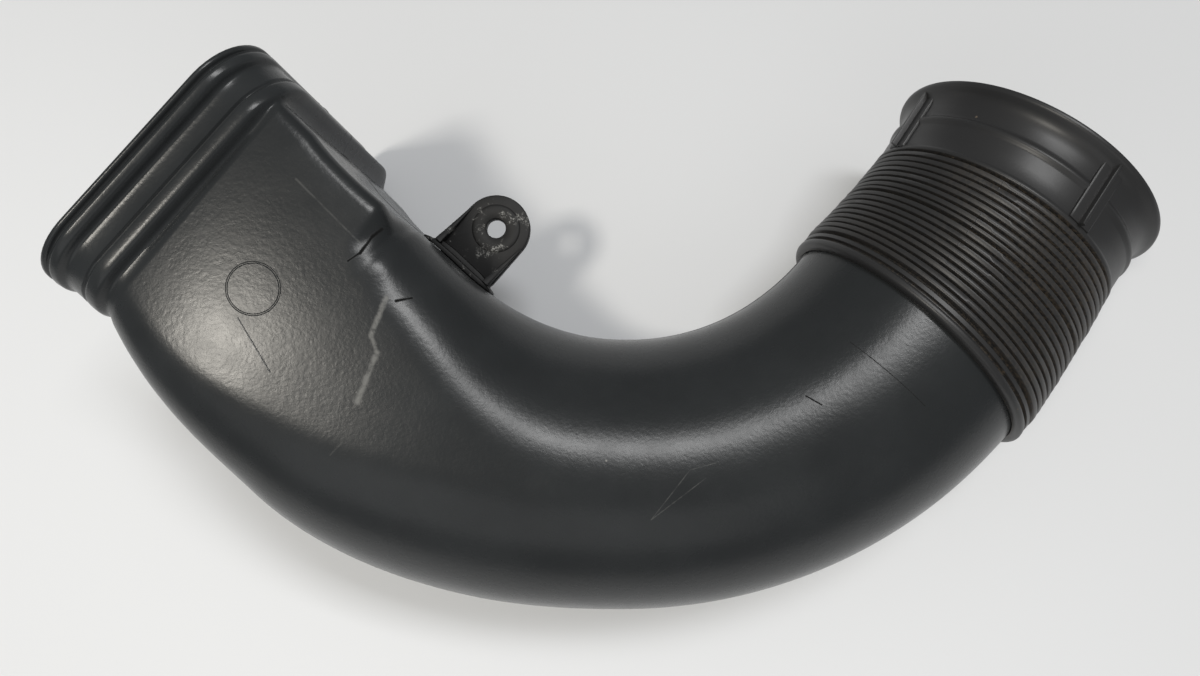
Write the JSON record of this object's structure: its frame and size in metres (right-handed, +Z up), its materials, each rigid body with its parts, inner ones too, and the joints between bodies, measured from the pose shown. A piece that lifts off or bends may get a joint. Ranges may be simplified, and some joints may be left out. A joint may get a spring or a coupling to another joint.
{
  "type": "cold air intake pipe",
  "caption": "Air intake duct for an engine bay: tall rectangular stepped mouth, long bend to a round pipe, screw ear, and a corrugated hose with a flared cuff.",
  "frame": {"origin": "middle of the bounding box in plan, on the surface that the part lies on", "axes": "+Z up, the part lying on its side; +X from the mouth's end to the hose's end; +Y to the hollow side of the bend"},
  "size_m": [0.3829, 0.1962, 0.1423],
  "materials": {
    "duct": "satin black blow moulded plastic with a fine leathery grain, scuffed and scratched",
    "ear": "dull black moulded plastic with pale residue round the hole",
    "hose": "black moulded rubber, smooth on the cuff, dull and dusty in the corrugations"
  },
  "bodies": {
    "root": {"duct_body": "duct", "mounting_ear": "ear", "bellows_hose": "hose"}
  },
  "joints": []
}
